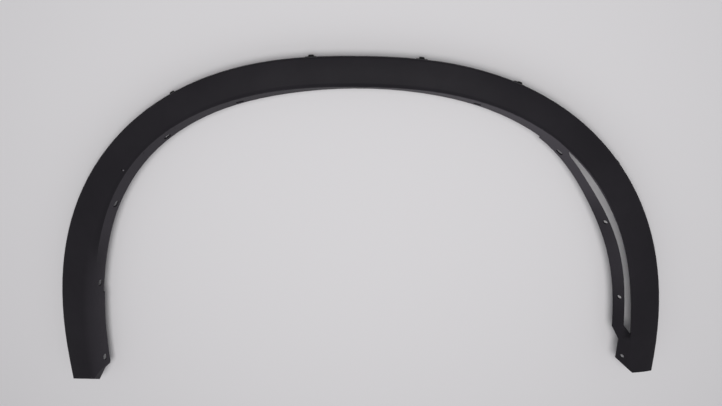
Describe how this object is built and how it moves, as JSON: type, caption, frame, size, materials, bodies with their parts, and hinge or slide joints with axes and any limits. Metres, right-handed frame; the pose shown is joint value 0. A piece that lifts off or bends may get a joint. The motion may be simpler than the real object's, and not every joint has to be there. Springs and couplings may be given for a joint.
{
  "type": "wheel arch trim",
  "caption": "Dark grained plastic wheel arch trim: a crowned band with a return flange, a crescent air slot in one leg, flange holes and push-in clips on its back.",
  "frame": {"origin": "centre of the overall box seen square on, at the level of the clip tips that the trim lies on", "axes": "+X across the arch towards the leg with the air slot, +Y up the arch to its crown, +Z out of the car's side, which is up as the trim lies"},
  "size_m": [0.8994, 0.524, 0.0464],
  "materials": {
    "moulding": "fine moulded grain",
    "clips": "smooth moulded"
  },
  "bodies": {
    "root": {"arch_moulding": "moulding", "retaining_clips": "clips"}
  },
  "joints": []
}
